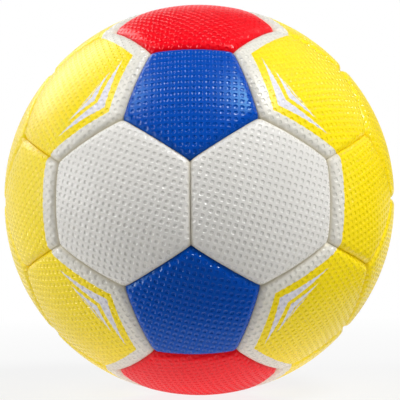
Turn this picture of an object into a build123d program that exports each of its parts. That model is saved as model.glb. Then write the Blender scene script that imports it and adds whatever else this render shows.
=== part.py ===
import os
from math import acos, atan, cos, degrees, pi, sin, sqrt, tan

from build123d import *

# A size 2 handball: 32 moulded panels on a cloth carcass round an air bladder.
# Origin at the ball's centre, +Z up, the front towards -Y, +X to the right.

# Ball
ball_diameter = 175.0
crown_radius = 84.0  # each panel bulges a little more than the ball itself

# Layers, from the outside in
panel_thickness = 3.6  # coated cover, foam and backing, laminated in one sheet
carcass_thickness = 1.5
bladder_thickness = 1.2
bond_gap = 0.05  # glue line between two layers

# Panel edges
seam_gap = 0.3  # between two panels' walls, below their rolled edges
edge_width = 4.2  # how far in from the seam a panel starts to roll down
edge_depth = 1.35
edge_shares = ((1.0, -0.05), (0.3, 0.38), (0.0, 1.0))  # of the width in, of the depth down
corner_width = 3.6  # how far out the pit reaches where three panels meet
corner_depth_share = 0.68  # of the panel's thickness
cap_floor_share = 0.8  # of the ball's radius, where a panel's blank ends below its corners

# Valve, at the middle of a white panel at the back
valve_stem_radius = 4.0
valve_stem_length = 19.0
valve_sink = 0.6  # how far the valve's face lies under the panel's crown
valve_clearance = 0.1
valve_flange_radius = 12.0
valve_flange_thickness = 1.4
needle_radius = 1.1
needle_guide_length = 5.0
needle_mouth_radius = 1.9
needle_mouth_depth = 0.8
valve_core_radius = 2.4
valve_core_gap = 0.05
core_cone_depth = 1.6

# What follows from those sizes
ball_radius = ball_diameter / 2
crown_shift = ball_radius - crown_radius
corner_depth = panel_thickness * corner_depth_share
panel_inner_radius = ball_radius - panel_thickness
carcass_outer_radius = panel_inner_radius - bond_gap
carcass_inner_radius = carcass_outer_radius - carcass_thickness
bladder_outer_radius = carcass_inner_radius - bond_gap
bladder_inner_radius = bladder_outer_radius - bladder_thickness
valve_face_height = ball_radius - valve_sink
valve_end_height = valve_face_height - valve_stem_length
valve_hole_radius = valve_stem_radius + valve_clearance
guide_end_height = valve_face_height - needle_guide_length

# Panel layout: a truncated icosahedron
golden = (1 + sqrt(5)) / 2
left_right = {"left": -1, "right": 1}
front_back = {"front": -1, "back": 1}
upper_lower = {"upper": 1, "lower": -1}

hexagons = {}
pentagons = {}
for depth, y in front_back.items():
    for side, x in left_right.items():
        hexagons[f"panel_white_{depth}_{side}"] = Vector(x / golden, y * golden, 0)
        pentagons[f"panel_cheek_{depth}_{side}"] = Vector(x * golden, y, 0)
        for level, z in upper_lower.items():
            hexagons[f"panel_striped_{level}_{depth}_{side}"] = Vector(x, y, z)
for level, z in upper_lower.items():
    for depth, y in front_back.items():
        hexagons[f"panel_red_{level}_{depth}"] = Vector(0, y / golden, z * golden)
        pentagons[f"panel_blue_{level}_{depth}"] = Vector(0, y * golden, z)
    for side, x in left_right.items():
        hexagons[f"panel_side_{level}_{side}"] = Vector(x * golden, 0, z / golden)
        pentagons[f"panel_crown_{level}_{side}"] = Vector(x, 0, z * golden)

valve_panel = "panel_white_back_left"


def angle_between(one, other):
    return acos(one.normalized().dot(other.normalized()))


def nearest(axis, others):
    return min(others, key=lambda other: angle_between(axis, other))


# Each seam plane holds the ball's centre and leans from the panel's axis by this angle.
hexagon_axis = hexagons[valve_panel]
hexagon_lean = atan(1 / golden**2)
pentagon_lean = angle_between(hexagon_axis, nearest(hexagon_axis, pentagons.values())) - hexagon_lean


def ball(radius):
    return Rot(0, 90, 0) * Sphere(radius)


def edge_cutter(lean):
    """A ring about the seam plane's normal, which rolls the panel's edge down to the seam."""
    seam = crown_shift * sin(lean) - seam_gap / 2
    crown_height = sqrt(crown_radius**2 - (seam - edge_width) ** 2)
    edge = [(seam - edge_width * inward, crown_height - edge_depth * down) for inward, down in edge_shares]
    top = crown_height + edge_width
    outline = [
        (seam - edge_width, top),
        *edge,
        (seam, panel_inner_radius / 2),
        (seam + ball_radius, panel_inner_radius / 2),
        (seam + ball_radius, top),
    ]
    ring = revolve(make_face(Polyline(*outline, close=True)), Axis.X)
    return Pos(0, 0, crown_shift) * Rot(0, degrees(lean), 0) * ring


def corner_cutter(sides, lean):
    """A cone that sinks a panel's corner into the pit between three panels."""
    corner_lean = atan(tan(lean) / cos(pi / sides))
    aside = crown_shift * sin(corner_lean)
    crown_height = crown_shift * cos(corner_lean) + sqrt(crown_radius**2 - aside**2)
    cone = Cone(0, corner_width * 2, corner_depth * 2, align=(Align.CENTER, Align.CENTER, Align.MIN))
    cone = Pos(0, 0, crown_height - corner_depth) * cone
    return Rot(0, 0, 180 / sides) * Rot(0, degrees(corner_lean), 0) * cone


def panel_blank(sides, lean):
    """One panel, its middle on +Z and the middle of one edge towards +X."""
    crown = Pos(0, 0, crown_shift) * ball(crown_radius)
    blank = split(crown, Plane.XY.offset(ball_radius * cap_floor_share), Keep.TOP)
    blank -= ball(panel_inner_radius)
    edge = edge_cutter(lean)
    corner = corner_cutter(sides, lean)
    for side in range(sides):
        turn = Rot(0, 0, 360 / sides * side)
        blank -= turn * edge
        blank -= turn * corner
    return blank


def panel_place(axis, neighbours):
    return Plane(origin=(0, 0, 0), x_dir=nearest(axis, neighbours), z_dir=axis).location


def along_valve(radius, low, high):
    return Pos(0, 0, low) * Cylinder(radius, high - low, align=(Align.CENTER, Align.CENTER, Align.MIN))


def hung_cone(low_radius, high_radius, depth):
    """A cone that reaches down from the origin."""
    return Cone(low_radius, high_radius, depth, align=(Align.CENTER, Align.CENTER, Align.MAX))


def shell(outer, inner):
    return ball(outer) - ball(inner)


def valve_body():
    """The rubber housing: a stem through the layers with a flange bonded inside the bladder."""
    flange_top = bladder_inner_radius - bond_gap
    flange = shell(flange_top, flange_top - valve_flange_thickness)
    flange &= along_valve(valve_flange_radius, valve_end_height, ball_radius)
    body = along_valve(valve_stem_radius, valve_end_height, valve_face_height) + flange
    body -= along_valve(needle_radius, guide_end_height, valve_face_height)
    body -= Pos(0, 0, valve_face_height) * hung_cone(needle_radius, needle_mouth_radius, needle_mouth_depth)
    return body - along_valve(valve_core_radius, valve_end_height, guide_end_height)


def valve_core():
    """The self-closing plug, with a cone that leads the needle to its slit."""
    top = guide_end_height - valve_core_gap
    plug = along_valve(valve_core_radius - valve_core_gap, valve_end_height, top)
    return plug - Pos(0, 0, top) * hung_cone(0, needle_radius, core_cone_depth)


os.makedirs("parts", exist_ok=True)
nodes = {}
hexagon = panel_blank(6, hexagon_lean)
pentagon = panel_blank(5, pentagon_lean)
valve_hole = along_valve(valve_hole_radius, valve_end_height, ball_diameter)
for name, axis in hexagons.items():
    blank = hexagon - valve_hole if name == valve_panel else hexagon
    nodes[name] = panel_place(axis, pentagons.values()) * blank
for name, axis in pentagons.items():
    nodes[name] = panel_place(axis, hexagons.values()) * pentagon

valve_place = panel_place(hexagons[valve_panel], pentagons.values())
nodes["carcass"] = valve_place * (shell(carcass_outer_radius, carcass_inner_radius) - valve_hole)
nodes["bladder"] = valve_place * (shell(bladder_outer_radius, bladder_inner_radius) - valve_hole)
nodes["valve_body"] = valve_place * valve_body()
nodes["valve_core"] = valve_place * valve_core()

for name, node in nodes.items():
    export_step(node, f"parts/{name}.step")
print(len(nodes), "nodes")
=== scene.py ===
import math

import bpy
import numpy as np
from mathutils import Matrix, Vector


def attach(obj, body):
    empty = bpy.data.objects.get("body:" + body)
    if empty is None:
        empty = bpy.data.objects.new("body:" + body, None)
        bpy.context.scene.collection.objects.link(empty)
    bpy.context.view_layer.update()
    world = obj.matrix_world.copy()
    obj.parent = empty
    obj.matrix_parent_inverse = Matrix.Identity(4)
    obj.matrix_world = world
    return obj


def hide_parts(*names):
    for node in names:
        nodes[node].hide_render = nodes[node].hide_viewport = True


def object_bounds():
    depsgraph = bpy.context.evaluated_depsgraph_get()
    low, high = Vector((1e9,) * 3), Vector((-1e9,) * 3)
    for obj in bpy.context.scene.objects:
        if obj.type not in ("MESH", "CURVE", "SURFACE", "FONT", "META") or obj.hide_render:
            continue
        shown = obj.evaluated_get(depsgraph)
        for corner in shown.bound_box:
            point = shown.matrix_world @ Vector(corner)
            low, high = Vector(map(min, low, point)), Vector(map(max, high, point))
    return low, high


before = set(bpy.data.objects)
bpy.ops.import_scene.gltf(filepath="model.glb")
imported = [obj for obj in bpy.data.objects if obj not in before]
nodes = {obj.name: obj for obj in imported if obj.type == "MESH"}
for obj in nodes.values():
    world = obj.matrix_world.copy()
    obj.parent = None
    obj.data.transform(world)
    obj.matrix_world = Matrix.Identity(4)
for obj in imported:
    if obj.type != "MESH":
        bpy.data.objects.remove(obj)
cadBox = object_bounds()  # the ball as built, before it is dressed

mm = 0.001
golden = (1 + math.sqrt(5)) / 2
print("frame:", len(nodes), "nodes")


def farthest(name):
    return max(vertex.co.length for vertex in nodes[name].data.vertices)


def unit(place):
    return Vector(place).normalized()


def flatWay(axis, direction):  # the direction's part across the axis
    up = unit(axis)
    return (Vector(direction) - up * up.dot(Vector(direction))).normalized()


def smoothStep(value, low, high):
    share = np.clip((value - low) / (high - low), 0, 1)
    return share * share * (3 - 2 * share)


# Sizes that the pieces share, most of them read off the frame
ball = {
    "radius": farthest("panel_white_front_right"),  # over the crowns
    "carcass": farthest("carcass"),
    "bladder": farthest("bladder"),
    "floor": cadBox[0].z,
    "valveHole": 4.1 * mm,  # radius, through all layers
    "mergeReach": 0.005 * mm,  # points of one mesh that lie closer are one
}


# Handling of meshes

def letGo():
    if bpy.context.mode != "OBJECT":
        bpy.ops.object.mode_set(mode="OBJECT")
    bpy.ops.object.select_all(action="DESELECT")


def takeUp(piece):
    letGo()
    piece.select_set(True)
    bpy.context.view_layer.objects.active = piece


def openMesh(piece):
    takeUp(piece)
    bpy.ops.object.mode_set(mode="EDIT")
    bpy.ops.mesh.select_mode(type="VERT")
    bpy.ops.mesh.select_all(action="SELECT")


def closeMesh():
    bpy.ops.object.mode_set(mode="OBJECT")


def copyOf(piece, name):
    twin = piece.copy()
    twin.data = piece.data.copy()
    twin.name = twin.data.name = name
    bpy.context.collection.objects.link(twin)
    return twin


def discard(piece):
    bpy.data.objects.remove(piece)


def readPoints(piece):
    points = np.empty(len(piece.data.vertices) * 3)
    piece.data.vertices.foreach_get("co", points)
    return points.reshape(-1, 3)


def writePoints(piece, points):
    piece.data.vertices.foreach_set("co", points.ravel())
    piece.data.update()


def applyModifier(piece, modifier):
    takeUp(piece)
    bpy.ops.object.modifier_apply(modifier=modifier.name)


def smooth(piece, angle):
    takeUp(piece)
    bpy.ops.object.shade_smooth_by_angle(angle=angle)


def turnProfile(name, profile, segments, capped=False):  # a ring walked along pairs of radius and height
    letGo()
    radius, height = profile[0]
    bpy.ops.mesh.primitive_circle_add(vertices=segments, radius=radius, fill_type="NOTHING")
    piece = bpy.context.object
    piece.name = piece.data.name = name
    openMesh(piece)
    bpy.ops.mesh.select_mode(type="EDGE")
    bpy.ops.mesh.select_all(action="SELECT")
    bpy.ops.transform.translate(value=(0, 0, height))
    if capped:
        bpy.ops.mesh.edge_face_add()
    for nextRadius, nextHeight in profile[1:]:
        bpy.ops.mesh.extrude_region_move()
        widen = nextRadius / radius
        bpy.ops.transform.resize(value=(widen, widen, 1), center_override=(0, 0, 0))
        bpy.ops.transform.translate(value=(0, 0, nextHeight - height))
        radius, height = nextRadius, nextHeight
    bpy.ops.mesh.select_mode(type="VERT")
    bpy.ops.mesh.select_all(action="SELECT")
    bpy.ops.mesh.remove_doubles(threshold=ball["mergeReach"])
    bpy.ops.mesh.select_all(action="SELECT")
    bpy.ops.mesh.delete_loose()
    bpy.ops.mesh.select_all(action="SELECT")
    bpy.ops.mesh.normals_make_consistent(inside=False)
    closeMesh()
    return piece


def punchHole(piece, profile):
    punch = turnProfile("punch", profile, valve["segments"], capped=True)
    hole = piece.modifiers.new("hole", "BOOLEAN")
    hole.operation = "DIFFERENCE"
    hole.solver = "MANIFOLD"
    hole.object = punch
    applyModifier(piece, hole)
    discard(punch)


def standOn(piece, axis, toward):  # from +Z to its place on the ball, with +X turned to a neighbour
    up, side = unit(axis), flatWay(axis, toward)
    turn = Matrix((side, up.cross(side), up)).transposed()
    takeUp(piece)
    piece.matrix_world = turn.to_4x4()
    bpy.ops.object.transform_apply(location=True, rotation=True, scale=True)


def hand(piece, node, slot, finish):
    piece.data.materials.clear()
    piece.data.materials.append(finish)
    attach(piece, "root")
    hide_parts(node)


# Dimpled sheet, from which the panels are cut
dimple = {
    "pitch": 2.86 * mm,
    "mouth": 1.0 * mm,  # radius
    "steps": ((0.12 * mm, 0.14 * mm), (0.22 * mm, 0.08 * mm), (0.3 * mm, 0.01 * mm)),  # in and down, from the mouth
    "gloss": (  # depth down the wall, and how glossy it is there
        (0, 0), (0.07 * mm, 1), (0.14 * mm, 1), (0.22 * mm, 0.35), (0.23 * mm, 0)),
    "across": 26,  # dimples along each side of the sheet
}


def modelDimple():
    letGo()
    bpy.ops.mesh.primitive_grid_add(x_subdivisions=3, y_subdivisions=3, size=dimple["pitch"])
    tile = bpy.context.object
    openMesh(tile)
    bpy.ops.mesh.dissolve_faces()
    rounding = (math.sqrt(2) + 2 * math.sqrt(10) / 3) / 3  # mean reach of the square's twelve points
    bpy.ops.mesh.inset(thickness=dimple["pitch"] / 2 - dimple["mouth"] / rounding)
    bpy.ops.transform.tosphere(value=1)
    for inward, down in dimple["steps"]:
        bpy.ops.mesh.inset(thickness=inward, depth=-down)
    closeMesh()
    return tile


def layDimples():
    sheet = modelDimple()
    for step in ((dimple["pitch"], 0, 0), (0, dimple["pitch"], 0)):
        rows = sheet.modifiers.new("rows", "ARRAY")
        rows.count = dimple["across"]
        rows.use_relative_offset = False
        rows.use_constant_offset = True
        rows.constant_offset_displace = step
        rows.use_merge_vertices = True
        rows.merge_threshold = dimple["pitch"] / 100
        applyModifier(sheet, rows)
    middle = dimple["pitch"] * (dimple["across"] - 1) / 2
    openMesh(sheet)
    bpy.ops.transform.translate(value=(-middle, -middle, 0))
    closeMesh()
    print("sheet:", len(sheet.data.polygons), "faces")
    return sheet


# Panels
panel = {
    "crownShift": 3.5 * mm,  # the crown's centre, out from the ball's
    "thickness": 3.6 * mm,
    "gap": 0.012 * mm,  # from a panel's wall to the seam's middle
    "cutReach": 0.001 * mm,  # points that close to a cut lie on it
    "rolls": ((4.2 * mm, 0.8 * mm), (2.6 * mm, 0.9 * mm), (0.3 * mm, 0.08 * mm)),  # width and depth, to the last tuck
    "rollLoops": (0.1 * mm, 0.3 * mm, 0.7 * mm, 1.2 * mm, 1.8 * mm, 2.6 * mm),
    "cornerPower": 3.2,  # the lower, the deeper the pits where three panels meet
    "bareEdge": (0.3 * mm, 1.1 * mm),  # where the dimples start and reach their full depth
    "bareValve": (5.6 * mm, 7.6 * mm),
    "underside": (0.86, 0.72, 0.58, 0.44, 0.3, 0.16),  # rings, as shares of the outline
    "undersideReach": 0.2 * mm,  # points that close to the inner sphere belong to the underside
    "mapSpan": 2.04,  # of the map, in reaches of the panel
    "mapUnder": (0.11, 0.12, 0.43),  # shares of the underside and of the walls round it, and their corner
    "rowTurn": {6: 13, 5: 1},  # degrees from the first edge to the dimples' rows
    "smoothAngle": math.radians(35),
    "hexagonLean": math.atan(1 / golden**2),
}
hexagonAxis, pentagonAxis = unit((1, 1, 1)), unit((0, golden, 1))
panel["pentagonLean"] = hexagonAxis.angle(pentagonAxis) - panel["hexagonLean"]
panel["edgeRadius"] = ball["radius"] - sum(depth for width, depth in panel["rolls"])
panel["crownRadius"] = ball["radius"] - panel["crownShift"]
panel["innerRadius"] = ball["radius"] - panel["thickness"]
panel["holeProfile"] = (  # radius and height of the valve's hole, which widens to a soft rim
    (ball["valveHole"], panel["innerRadius"] - 2 * mm),
    (4.3 * mm, ball["radius"] - 0.9 * mm),
    (4.45 * mm, ball["radius"] - 0.4 * mm),
    (4.75 * mm, ball["radius"] - 0.1 * mm),
    (5.4 * mm, ball["radius"] + 0.4 * mm),
)
crownCentre = np.array((0, 0, panel["crownShift"]))


def seamNormals(sides, lean):
    first = Vector((math.cos(lean), 0, -math.sin(lean)))
    return [Matrix.Rotation(math.tau * side / sides, 3, "Z") @ first for side in range(sides)]


def wrapOnCrown(piece):
    points = readPoints(piece)
    reach = np.hypot(points[:, 0], points[:, 1])
    bend = reach / panel["crownRadius"]
    level = panel["crownRadius"] + points[:, 2]
    outward = np.sin(bend) * level / np.maximum(reach, 1e-9)  # the middle has no reach to divide by
    wrapped = np.column_stack((points[:, 0] * outward, points[:, 1] * outward, np.cos(bend) * level))
    writePoints(piece, wrapped + crownCentre)


def cutOutline(piece, normals):
    openMesh(piece)
    for inward in (0, *panel["rollLoops"]):
        for normal in normals:
            bpy.ops.mesh.select_all(action="SELECT")
            bpy.ops.mesh.bisect(
                plane_co=-(panel["gap"] + inward) * normal, plane_no=normal,
                clear_outer=inward == 0, threshold=panel["cutReach"])
    closeMesh()


def rollEdges(piece, normals, forValve):
    points = readPoints(piece)
    outward = points - crownCentre
    level = np.linalg.norm(outward, axis=1)
    outward /= level[:, None]
    inward = np.array([-(points @ np.array(normal)) - panel["gap"] for normal in normals])
    drop = 0
    for width, depth in panel["rolls"]:
        nearness = np.clip(1 - inward / width, 0, 1) ** panel["cornerPower"]
        drop = drop + depth * nearness.sum(axis=0) ** (2 / panel["cornerPower"])
    full = smoothStep(inward.min(axis=0), *panel["bareEdge"])
    if forValve:
        full *= smoothStep(np.hypot(points[:, 0], points[:, 1]), *panel["bareValve"])
    hollow = panel["crownRadius"] - level
    writePoints(piece, crownCentre + outward * (panel["crownRadius"] - hollow * full - drop)[:, None])
    layer = piece.data.attributes.new("gloss", "FLOAT", "POINT")
    layer.data.foreach_set("value", np.interp(hollow, *zip(*dimple["gloss"])) * full)


def onUnderside(points):
    level = np.linalg.norm(points, axis=1)
    return level < panel["innerRadius"] + panel["undersideReach"], level


def closeUnderside(piece):
    edgeLevel = panel["innerRadius"] / panel["edgeRadius"]
    openMesh(piece)
    bpy.ops.mesh.select_mode(type="EDGE")
    bpy.ops.mesh.select_all(action="DESELECT")
    bpy.ops.mesh.select_non_manifold(
        extend=False, use_wire=False, use_multi_face=False, use_non_contiguous=False, use_verts=False)
    bpy.ops.mesh.extrude_region_move()
    bpy.ops.transform.resize(value=(edgeLevel,) * 3, center_override=(0, 0, 0))
    last = 1
    for share in panel["underside"]:
        bpy.ops.mesh.extrude_region_move()
        bpy.ops.transform.resize(value=(share / last, share / last, 1), center_override=(0, 0, 0))
        last = share
    bpy.ops.mesh.extrude_region_move()
    bpy.ops.mesh.merge(type="CENTER")
    bpy.ops.mesh.select_all(action="SELECT")
    bpy.ops.mesh.normals_make_consistent(inside=False)
    closeMesh()
    points = readPoints(piece)
    below, level = onUnderside(points)
    points[below] *= (panel["innerRadius"] / level[below])[:, None]
    writePoints(piece, points)


def mapPanel(piece):  # the outside fills the map, and the underside a corner of it
    mesh = piece.data
    points = readPoints(piece)
    spot = np.empty(len(mesh.loops), int)
    mesh.loops.foreach_get("vertex_index", spot)
    count = np.empty(len(mesh.polygons), int)
    mesh.polygons.foreach_get("loop_total", count)
    face = np.repeat(np.arange(len(count)), count)
    below = onUnderside(points)[0][spot]
    under = np.zeros(len(count), bool)
    under[face[below]] = True
    under = under[face]
    flat = points[spot, :2]
    flat /= np.abs(flat).max() * panel["mapSpan"]
    inner, wall, corner = panel["mapUnder"]
    flat[under] = flat[under] * np.where(below[under], inner, wall)[:, None] + corner
    layer = mesh.uv_layers.new(name="OFBake")
    layer.data.foreach_set("uv", (flat + 0.5).ravel())


def modelPanel(sheet, sides, forValve=False):
    blank = copyOf(sheet, f"blank{sides}")
    normals = seamNormals(sides, panel["hexagonLean"] if sides == 6 else panel["pentagonLean"])
    openMesh(blank)
    turn = -math.radians(panel["rowTurn"][sides])
    bpy.ops.transform.rotate(value=turn, orient_axis="Z", center_override=(0, 0, 0))
    closeMesh()
    wrapOnCrown(blank)
    cutOutline(blank, normals)
    rollEdges(blank, normals, forValve)
    closeUnderside(blank)
    if forValve:
        punchHole(blank, panel["holeProfile"])
    mapPanel(blank)
    smooth(blank, panel["smoothAngle"])
    print("panel of", sides, "sides:", len(blank.data.polygons), "faces")
    return blank


def layPanels():  # name of each panel, its kind, its axis and the neighbour that its first edge faces
    frontBack = (("front", -1), ("back", 1))
    leftRight = (("left", -1), ("right", 1))
    upperLower = (("upper", 1), ("lower", -1))
    rows = []
    for depth, y in frontBack:
        for side, x in leftRight:
            rows.append((f"white_{depth}_{side}", "white", (x / golden, y * golden, 0), (0, y * golden, x * y)))
            first = (x, y, 1) if x > 0 else (x * golden, 0, -1 / golden)
            rows.append((f"cheek_{depth}_{side}", "cheek", (x * golden, y, 0), first))
            for level, z in upperLower:
                first = (0, y * golden, z) if x * z > 0 else (x / golden, y * golden, 0)
                rows.append((f"striped_{level}_{depth}_{side}", "striped", (x, y, z), first))
    for level, z in upperLower:
        for depth, y in frontBack:
            first = (1, 0, z * golden) if z > 0 else (0, y * golden, z)
            rows.append((f"red_{level}_{depth}", "red", (0, y / golden, z * golden), first))
            first = (0, y / golden, z * golden) if z > 0 else (1, y, z)
            rows.append((f"blue_{level}_{depth}", "blue", (0, y * golden, z), first))
        for side, x in leftRight:
            rows.append((f"side_{level}_{side}", "side", (x * golden, 0, z / golden), (x * golden, 1, 0)))
            rows.append((f"crown_{level}_{side}", "crown", (x, 0, z * golden), (0, 1 / golden, z * golden)))
    return rows


# Valve, in the middle of a white panel at the back
valve = {
    "panel": "white_back_left",
    "segments": 48,
    "smoothAngle": math.radians(40),
    "housing": [(radius * mm, height * mm) for radius, height in (  # from the needle's mouth out, down and back
        (1.1, 86.1), (1.75, 86.72), (1.95, 86.86), (2.2, 86.9), (3.4, 86.9), (3.75, 86.82), (3.95, 86.6), (4.0, 86.3),
        (4.0, 81.4), (4.0, 80.95), (6.7, 80.77), (9.4, 80.5), (11.6, 80.21), (11.9, 80.05), (12.0, 79.8), (12.0, 79.0),
        (11.9, 78.8), (11.6, 78.73), (8.0, 79.2), (5.2, 79.4), (4.4, 79.2), (4.0, 78.6), (4.0, 68.4), (3.85, 68.05),
        (3.5, 67.9), (2.6, 67.9), (2.4, 68.1), (2.4, 81.9), (1.1, 81.9), (1.1, 86.1))],
    "plug": [(radius * mm, height * mm) for radius, height in (  # a cone leads the needle to the slit
        (0.001, 67.9), (2.0, 67.9), (2.25, 68.0), (2.35, 68.3), (2.35, 81.6), (2.25, 81.8), (1.1, 81.85), (0.35, 80.7),
        (0.15, 80.3), (0.001, 80.25))],
}


# Shader maths

class Wire:
    def __init__(self, tree, socket=None):
        self.tree, self.socket = tree, socket

    def add(self, kind, settings, sockets, output=0):
        node = self.tree.nodes.new("ShaderNode" + kind)
        for name, value in settings.items():
            setattr(node, name, value)
        for name, value in sockets.items():
            if isinstance(value, Wire):
                self.tree.links.new(value.socket, node.inputs[name])
            else:
                node.inputs[name].default_value = value
        return Wire(self.tree, node.outputs[output])

    def feed(self, shader, name):
        self.tree.links.new(self.socket, shader.inputs[name])

    def maths(self, operation, *values, clamp=False):
        return self.add("Math", {"operation": operation, "use_clamp": clamp}, dict(enumerate(values)))

    def __add__(self, other):
        return self.maths("ADD", self, other)

    def __sub__(self, other):
        return self.maths("SUBTRACT", self, other)

    def __rsub__(self, other):
        return self.maths("SUBTRACT", other, self)

    def __mul__(self, other):
        return self.maths("MULTIPLY", self, other)

    def __truediv__(self, other):
        return self.maths("DIVIDE", self, other)

    def __abs__(self):
        return self.maths("ABSOLUTE", self)

    __radd__, __rmul__ = __add__, __mul__

    def clamped(self):
        return self.maths("ADD", self, 0, clamp=True)

    def least(self, other):
        return self.maths("MINIMUM", self, other)

    def most(self, other):
        return self.maths("MAXIMUM", self, other)

    def risen(self, none, full):  # 0 at the first value and 1 at the second
        return ((self - none) / (full - none)).clamped()

    def step(self, softness):  # 0 below zero and 1 above, with a soft edge
        return self.maths("MULTIPLY_ADD", self, 1 / softness, 0.5, clamp=True)

    def along(self, direction):
        return self.add("VectorMath", {"operation": "DOT_PRODUCT"}, {0: self, 1: direction}, "Value")

    def reach(self, middle=(0, 0, 0)):
        return self.add("VectorMath", {"operation": "DISTANCE"}, {0: self, 1: middle}, "Value")

    def times(self, other):
        return self.add("Mix", {"data_type": "RGBA", "blend_type": "MULTIPLY"}, {0: 1, 6: self, 7: other}, 2)

    def mixed(self, colour, other):  # self is the share of the other colour
        return self.add("Mix", {"data_type": "RGBA"}, {0: self, 6: colour, 7: other}, 2)

    def noise(self, size, detail):
        return self.add("TexNoise", {}, {"Vector": self, "Scale": 1 / size, "Detail": detail}, "Fac")

    def bump(self, strength, height):
        return self.add("Bump", {}, {"Height": self, "Strength": strength, "Distance": height})


plain = (1, 1, 1, 1)


def linear(red, green, blue):
    channels = [value / 255 for value in (red, green, blue)]
    return (*[c / 12.92 if c <= 0.04045 else ((c + 0.055) / 1.055) ** 2.4 for c in channels], 1)


def newFinish(name):
    material = bpy.data.materials.new(name)
    material.use_nodes = True
    tree = material.node_tree
    return material, tree.nodes["Principled BSDF"], Wire(tree)


# Cover: coated synthetic leather, with a dull shine
cover = {
    "white": linear(228, 226, 221),
    "borderWhite": linear(226, 223, 213),
    "printWhite": linear(224, 222, 230),
    "yellow": linear(251, 224, 15),
    "red": linear(240, 4, 24),
    "blue": linear(0, 73, 179),
    "cloud": 22 * mm,  # size of the faint patches
    "grain": 0.35 * mm,
    "shadeChange": (0.08, 0.06),  # by the patches and by the grain
    "roughChange": (0.12, 0.16),
    "grainBump": (0.25, 0.03 * mm),  # strength and height
    "seamShade": (0.93, 0.89, 0.78, 1),  # painted shade, down in the seams
    "seamDepth": (0.9 * mm, 2.0 * mm),
    "roughness": 0.28,
    "shine": 0.22,
    "shineTint": {"blue": (0.35, 0.9, 1, 1), "red": (1, 0.7, 0.74, 1)},
    "wallGloss": {"red": 0.45},  # in the dimples no hand rubs the coating dull, so it is full, or this share
    "wallRise": 2,  # how steeply the gloss sets in from the dimple's mouth
    "wallRoughness": 0.1,
    "wallIndex": 1.6,
    "edgeSoftness": 0.12 * mm,  # of the prints
}


def coverFinish(name, colour, paint=None):
    material, shader, start = newFinish(name)
    place = start.add("TexCoord", {}, {}, "Object")
    base = paint(place, cover[colour]) if paint else cover[colour]
    cloudy = place.noise(cover["cloud"], 3) - 0.5
    grain = place.noise(cover["grain"], 2)
    shadeCloudy, shadeGrain = cover["shadeChange"]
    roughCloudy, roughGrain = cover["roughChange"]
    tinted = start.add("HueSaturation", {}, {
        "Color": base, "Value": 1 - (cloudy * shadeCloudy + (grain - 0.5) * shadeGrain)})
    # painted shade: the colour turns darker and warmer down in the seams
    shallow, deep = (ball["radius"] - depth for depth in cover["seamDepth"])
    sunk = place.reach().risen(shallow, deep)
    gloss = (start.add("Attribute", {"attribute_name": "gloss"}, {}, "Fac") * cover["wallRise"]).clamped()
    rough = cover["roughness"] + cloudy * roughCloudy + (grain - 0.5) * roughGrain
    rough = rough - gloss * (cover["roughness"] - cover["wallRoughness"])
    tinted.times(sunk.mixed(plain, cover["seamShade"])).feed(shader, "Base Color")
    rough.feed(shader, "Roughness")
    grain.bump(*cover["grainBump"]).feed(shader, "Normal")
    (gloss * cover["wallGloss"].get(colour, 1)).feed(shader, "Coat Weight")
    shader.inputs["Coat Roughness"].default_value = cover["wallRoughness"]
    shader.inputs["Coat IOR"].default_value = cover["wallIndex"]
    shader.inputs["Specular IOR Level"].default_value = cover["shine"]
    shader.inputs["Specular Tint"].default_value = cover["shineTint"].get(colour, plain)
    return material


# Prints: the same in all eight eighths of the ball, so they are drawn on folded coordinates
stripes = {
    "red": 26.0 * mm,  # from the panel's middle to the border along each of these neighbours
    "blue": 25.9 * mm,
    "white": 27.2 * mm,
    "aside": -0.9 * mm,  # the chevrons' middle, off the panel's corner
    "chevrons": (  # outer point, inner point, and how far out and aside the tips lie
        (26.8 * mm, 21.6 * mm, 12.8 * mm, 22.2 * mm),
        (19.3 * mm, 16.3 * mm, 13.6 * mm, 14.0 * mm),
        (15.7 * mm, 15.0 * mm, 14.2 * mm, 8.0 * mm),
    ),
    "band": 18.8 * mm,  # from a pentagon's middle to its white band
}
redWay, blueWay, whiteWay = (0, 1 / golden, golden), (0, golden, 1), (1 / golden, golden, 0)


def folded(place):
    return place.add("VectorMath", {"operation": "ABSOLUTE"}, {0: place})


def across(place, axis, way):  # how far out from the panel's middle, flattened
    return place.along(way) / place.along(unit(axis)) * ball["radius"]


def paintStripes(place, yellow):
    place = folded(place)
    axis = (1, 1, 1)
    ways = {"red": flatWay(axis, redWay), "blue": flatWay(axis, blueWay), "white": flatWay(axis, whiteWay)}
    corner = (ways["blue"] + ways["white"]).normalized()
    toBlue = (ways["blue"] - ways["white"]).normalized()
    edges = [stripes[name] - across(place, axis, way) for name, way in ways.items()]
    within = edges[0].least(edges[1]).least(edges[2]).step(cover["edgeSoftness"])
    colour = within.mixed(cover["borderWhite"], yellow)
    out = across(place, axis, corner)
    aside = abs(across(place, axis, toBlue) - stripes["aside"])
    for outer, inner, tipOut, tipAside in stripes["chevrons"]:
        sides = [((point - out) * tipAside - aside * (point - tipOut)) / math.hypot(point - tipOut, tipAside)
                 for point in (outer, inner)]
        chevron = sides[0].step(cover["edgeSoftness"]) * (1 - sides[1].step(cover["edgeSoftness"]))
        colour = chevron.mixed(colour, cover["printWhite"])
    return colour


def paintBand(axis, neighbour):
    def paint(place, yellow):
        edge = across(folded(place), axis, flatWay(axis, neighbour)) - stripes["band"]
        return edge.step(cover["edgeSoftness"]).mixed(yellow, cover["borderWhite"])
    return paint


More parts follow.
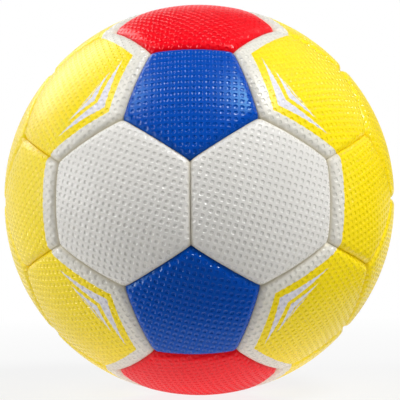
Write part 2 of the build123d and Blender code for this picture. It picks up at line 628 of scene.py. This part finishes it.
coverFinishes = {
    "white": coverFinish("coatedWhite", "white"),
    "red": coverFinish("coatedRed", "red"),
    "blue": coverFinish("coatedBlue", "blue"),
    "side": coverFinish("coatedYellow", "yellow"),
    "striped": coverFinish("printedStripes", "yellow", paintStripes),
    "cheek": coverFinish("printedCheek", "yellow", paintBand((golden, 1, 0), whiteWay)),
    "crown": coverFinish("printedCrown", "yellow", paintBand((1, 0, golden), redWay)),
}
coverSlots = {"side": "cover_yellow", "cheek": "cover_yellow", "crown": "cover_yellow"}

sheet = layDimples()
blanks = {
    "hexagon": modelPanel(sheet, 6),
    "pentagon": modelPanel(sheet, 5),
    "punched": modelPanel(sheet, 6, forValve=True),
}
for name, kind, axis, first in layPanels():
    shape = "pentagon" if kind in ("cheek", "blue", "crown") else "hexagon"
    if name == valve["panel"]:
        shape = "punched"
        valvePlace = axis, first
    piece = copyOf(blanks[shape], f"cover_{name}")
    standOn(piece, axis, first)
    hand(piece, f"panel_{name}", coverSlots.get(kind, f"cover_{kind}"), coverFinishes[kind])
for spent in (sheet, *blanks.values()):
    discard(spent)
print("cover: 32 panels")


# Rubber of the valve and the bladder
rubber = {
    "valve": linear(38, 38, 40),
    "core": linear(24, 24, 26),
    "bladder": linear(46, 44, 44),
    "dust": linear(150, 146, 140),  # talc left from moulding
    "dusty": {"valve": 0.12, "core": 0.12, "bladder": 0.5},
    "dustRise": (0.42, 2.2),  # where in the clouds it starts, and how steeply
    "cloud": 9 * mm,
    "speckle": 0.6 * mm,
    "speckleShade": 0.08,
    "speckleBump": (0.3, 0.03 * mm),  # strength and height
    "roughness": 0.58,
    "roughChange": 0.2,
    "shine": 0.35,
}


def rubberFinish(kind):
    material, shader, start = newFinish(f"{kind}Rubber")
    place = start.add("TexCoord", {}, {}, "Object")
    cloudy = place.noise(rubber["cloud"], 4)
    speckle = place.noise(rubber["speckle"], 2)
    least, steepness = rubber["dustRise"]
    dust = ((cloudy - least) * steepness).clamped() * rubber["dusty"][kind]
    dust = dust + (speckle - 0.5) * rubber["speckleShade"]
    dust.clamped().mixed(rubber[kind], rubber["dust"]).feed(shader, "Base Color")
    (rubber["roughness"] + (cloudy - 0.5) * rubber["roughChange"]).feed(shader, "Roughness")
    speckle.bump(*rubber["speckleBump"]).feed(shader, "Normal")
    shader.inputs["Specular IOR Level"].default_value = rubber["shine"]
    return material


for name, profile, node, slot, kind in (
        ("valve_housing", valve["housing"], "valve_body", "valve_rubber", "valve"),
        ("valve_plug", valve["plug"], "valve_core", "core_rubber", "core")):
    piece = turnProfile(name, profile, valve["segments"])
    smooth(piece, valve["smoothAngle"])
    standOn(piece, *valvePlace)
    hand(piece, node, slot, rubberFinish(kind))
print("valve: housing and plug")


# Carcass and bladder, the shells under the cover
layers = {
    "carcassWall": 1.5 * mm,
    "bladderWall": 1.2 * mm,
    "segments": 96,
    "rings": 48,
    "pole": 0.001 * mm,  # radius of the last ring, which is merged to a point
    "cloth": linear(222, 214, 196),
    "clothGap": linear(150, 138, 116),
    "thread": 0.9 * mm,  # from one thread of the cloth to the next
    "threadShade": 0.8,
    "threadBump": (0.6, 0.15 * mm),  # strength and height
    "weaveDepth": 0.8,
    "weaveTurn": 3,  # how soon one view of the cloth's grid gives way to the next
    "fuzz": 0.5 * mm,
    "fuzzShade": 0.5,
    "fuzzMiddle": 0.4,
    "roughness": 0.8,
    "roughChange": 0.2,
    "sheen": 0.2,
}


def shellProfile(outer, wall):
    rings = range(layers["rings"] + 1)
    profile = []
    for radius, steps in ((outer, rings), (outer - wall, reversed(rings))):
        start = math.asin(ball["valveHole"] / radius)
        for ring in steps:
            angle = start + (math.pi - start) * ring / layers["rings"]
            profile.append((max(radius * math.sin(angle), layers["pole"]), radius * math.cos(angle)))
    return profile + profile[:1]


def clothFinish():
    material, shader, start = newFinish("carcassCloth")
    place = start.add("TexCoord", {}, {}, "Object")
    parts = [place.along(way) for way in ((1, 0, 0), (0, 1, 0), (0, 0, 1))]
    waves = [start.maths("SINE", part * (math.pi / layers["thread"])) for part in parts]
    weave = 0
    for index in range(3):  # the cloth's grid seen along each axis, where the shell faces that way
        facing = start.maths("POWER", abs(parts[index]) / ball["carcass"], layers["weaveTurn"])
        weave = weave + facing * waves[index - 1] * waves[index - 2]
    threads = (weave * layers["weaveDepth"] + 0.5).clamped()
    fuzz = place.noise(layers["fuzz"], 3)
    shade = threads * layers["threadShade"] + (fuzz - layers["fuzzMiddle"]) * layers["fuzzShade"]
    shade.clamped().mixed(layers["clothGap"], layers["cloth"]).feed(shader, "Base Color")
    (layers["roughness"] + (fuzz - 0.5) * layers["roughChange"]).feed(shader, "Roughness")
    threads.bump(*layers["threadBump"]).feed(shader, "Normal")
    shader.inputs["Sheen Weight"].default_value = layers["sheen"]
    return material


for name, node, slot, finish in (
        ("cloth_shell", "carcass", "cloth", clothFinish()),
        ("air_bladder", "bladder", "bladder_rubber", rubberFinish("bladder"))):
    shell = turnProfile(name, shellProfile(ball[node], layers[f"{node}Wall"]), layers["segments"])
    smooth(shell, valve["smoothAngle"])
    standOn(shell, *valvePlace)
    hand(shell, node, slot, finish)
print("layers: carcass and bladder")


# Stage
stage = {
    "floorSize": 30.0,
    "floorColour": (0.62, 0.62, 0.62, 1),
    "floorRoughness": 0.9,
    "floorWhite": 0.85,  # how much of the plain white the camera sees near the ball
    "shadowReach": (0.15, 0.45),  # from there to all of the white
    "underGlow": 0.78,  # painted light: the floor glows under the ball, hidden from the camera, and lights the ball from below
    "underReach": (0.04, 0.09),
    "mirrorMiddle": (0, 0.07, 0),  # of the patch under the ball that reflections show white
    "mirrorReach": (0.14, 0.165),
    "contactShadowReach": 0.06,  # of the painted contact shadow: reflections see the floor dark where the ball touches it
    "roomLight": 0.03,  # what reflections see of the room, where the white backdrop isn't
    "backdropWay": (-0.66, 0.75, 0),
    "backdropEdge": (0.35, 0.75),
    "backdropTop": (0.6, 0.3),
    "backdropFloor": (-0.04, 0),  # from where on, that way, reflections show the floor white too
    "cardWay": (0.61, 0.5, 0.61),  # a dim card at the upper right
    "cardEdge": (0.85, 0.97),
    "cardLight": 0.6,
    "lamps": (  # place, size, watts, and whether they give all, sheen alone or fill alone
        ((0.72, -0.53, 1.33), 0.6, 20.6, "all"),
        ((-0.86, -0.4, 1.28), 0.6, 9.0, "all"),
        ((-1.0, 0.9, 1.0), 1.0, 9.5, "sheen"),
        ((-1.5, -0.3, 0.1), 1.0, 13.6, "all"),
        ((1.5, -0.3, 0.05), 1.0, 10.8, "fill"),
    ),
}


def rays(start, kind):
    return start.add("LightPath", {}, {}, f"Is {kind} Ray")


def reflected(start):
    return rays(start, "Glossy").most(rays(start, "Transmission"))


def towards(way, axis, edges):
    return way.add("MapRange", {"interpolation_type": "SMOOTHSTEP"}, {0: way.along(axis), 1: edges[0], 2: edges[1]})


def setRoom():  # white for the camera and in reflections of the backdrop, and no light of its own
    world = bpy.data.worlds.new("paleRoom")
    bpy.context.scene.world = world
    world.use_nodes = True
    sky = world.node_tree.nodes["Background"]
    sky.inputs["Color"].default_value = plain
    start = Wire(world.node_tree)
    way = start.add("TexCoord", {}, {}, "Generated")
    backdrop = towards(way, stage["backdropWay"], stage["backdropEdge"])
    backdrop = backdrop * towards(way, (0, 0, 1), stage["backdropTop"])
    card = towards(way, stage["cardWay"], stage["cardEdge"]) * stage["cardLight"]
    seen = stage["roomLight"] + backdrop.most(card) * (1 - stage["roomLight"])
    rays(start, "Camera").most(reflected(start) * seen).feed(sky, "Strength")


def floorFinish():
    material, shader, start = newFinish("paleFloor")
    shader.inputs["Base Color"].default_value = stage["floorColour"]
    shader.inputs["Roughness"].default_value = stage["floorRoughness"]
    place = start.add("TexCoord", {}, {}, "Object")
    reach = place.reach()
    away = reach.risen(*stage["shadowReach"])
    under = reach.risen(*reversed(stage["underReach"])) * stage["underGlow"]
    behind = place.along(stage["backdropWay"]).risen(*stage["backdropFloor"])
    patch = place.reach(stage["mirrorMiddle"]).risen(*reversed(stage["mirrorReach"]))
    # painted shadow: the white that reflections see fades to dark near the ball's contact
    mirrored = behind.most(patch) * (reach / stage["contactShadowReach"]).clamped()
    seen, mirror = rays(start, "Camera"), reflected(start)
    white = (seen * (stage["floorWhite"] + away * (1 - stage["floorWhite"]))).most(mirror)
    # painted light: the glow under the ball, which the camera doesn't see
    glow = start.add("Emission", {}, {"Strength": under * (1 - seen)})
    lit = start.add("AddShader", {}, {0: Wire(start.tree, shader.outputs[0]), 1: glow})
    bright = start.add("Emission", {}, {"Strength": seen.most(mirror * mirrored)})
    shown = start.add("MixShader", {}, {0: white, 1: lit, 2: bright})
    shown.feed(start.tree.nodes["Material Output"], "Surface")
    return material


def layFloor():
    letGo()
    bpy.ops.mesh.primitive_plane_add(size=stage["floorSize"], location=(0, 0, ball["floor"]))
    floor = bpy.context.object
    floor.name = "floor"
    floor.data.materials.append(floorFinish())


def hangLamps():
    for number, (place, size, watts, gives) in enumerate(stage["lamps"]):
        bpy.ops.object.light_add(type="AREA", location=place)
        lamp = bpy.context.object
        lamp.name = f"softbox{number}"
        lamp.data.shape = "DISK"
        lamp.data.size, lamp.data.energy = size, watts
        lamp.visible_diffuse, lamp.visible_glossy = gives != "sheen", gives != "fill"
        lamp.rotation_euler = Vector(place).to_track_quat("Z", "Y").to_euler()


# Camera, as fitted to the seams in the photograph
lens = {
    "yaw": -2.45,
    "pitch": 0.82,
    "roll": -0.61,
    "distance": 9.5,  # ball radii
    "focus": 1846.5,  # pixels
    "middle": (199.25, 199.9),  # pixel where the lens axis lies
    "picture": 400,
    "sensor": 36,
    "farEnd": 100,
}


def setCamera():
    yaw, pitch, roll = (math.radians(lens[name]) for name in ("yaw", "pitch", "roll"))
    turn = Matrix.Rotation(roll, 3, "Y") @ Matrix.Rotation(pitch, 3, "X") @ Matrix.Rotation(yaw, 3, "Z")
    right, forward, up = turn.row
    data = bpy.data.cameras.new("camera")
    camera = bpy.data.objects.new("camera", data)
    bpy.context.collection.objects.link(camera)
    view = Matrix((right, up, -forward)).transposed().to_4x4()
    view.translation = -forward * lens["distance"] * ball["radius"]
    camera.matrix_world = view
    data.sensor_width = lens["sensor"]
    data.lens = data.sensor_width * lens["focus"] / lens["picture"]
    data.shift_x = 0.5 - lens["middle"][0] / lens["picture"]
    data.shift_y = lens["middle"][1] / lens["picture"] - 0.5
    data.clip_end = lens["farEnd"]
    bpy.context.scene.camera = camera


setRoom()
layFloor()
hangLamps()
setCamera()
bpy.context.scene.view_settings.view_transform = "Standard"
print("stage: floor, lamps and camera")
